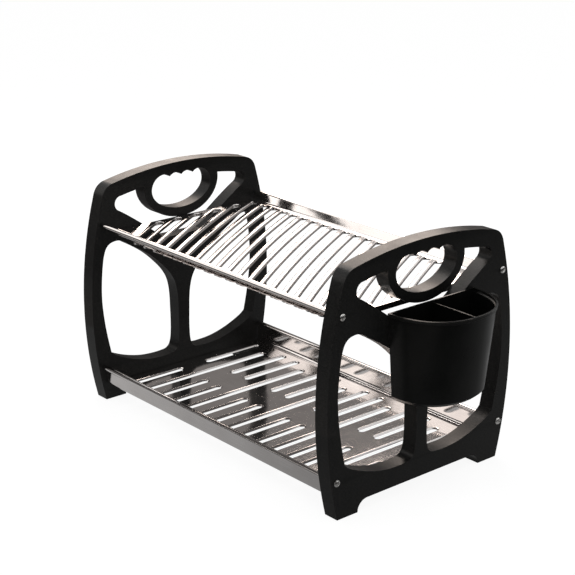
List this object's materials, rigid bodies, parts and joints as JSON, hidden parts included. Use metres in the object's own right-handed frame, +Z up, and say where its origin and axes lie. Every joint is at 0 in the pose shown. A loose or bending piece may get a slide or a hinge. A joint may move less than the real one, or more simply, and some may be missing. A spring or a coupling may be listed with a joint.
{
  "type": "dish drainer",
  "caption": "Dish drainer: slotted steel upper and lower trays between moulded black side panels with hand holes, and a black cutlery cup that hooks over one panel.",
  "frame": {"origin": "middle of the drainer's bounding box at the level of its feet", "axes": "+X runs along the trays, towards the panel that carries the cutlery cup; -Y is the front; +Z is up"},
  "size_m": [0.522, 0.2802, 0.29],
  "materials": {
    "black_plastic": "satin black moulding",
    "stainless_steel": "bright rolled sheet",
    "screw_steel": "bright plated"
  },
  "bodies": {
    "rack": {"left_side_panel": "black_plastic", "right_side_panel": "black_plastic", "upper_tray": "stainless_steel", "lower_tray": "stainless_steel", "tie_rod_upper_front": "stainless_steel", "tie_rod_upper_rear": "stainless_steel", "tie_rod_lower_front": "stainless_steel", "tie_rod_lower_rear": "stainless_steel", "screw_left_upper_front": "screw_steel", "screw_left_upper_rear": "screw_steel", "screw_left_lower_front": "screw_steel", "screw_left_lower_rear": "screw_steel", "screw_right_upper_front": "screw_steel", "screw_right_upper_rear": "screw_steel", "screw_right_lower_front": "screw_steel", "screw_right_lower_rear": "screw_steel"},
    "cup": {"cutlery_cup": "black_plastic"}
  },
  "joints": [
    {"name": "cup_lift", "type": "slide", "parent": "rack", "child": "cup", "axis": [0, 0, 1], "range_m": [0, 0.012]}
  ]
}
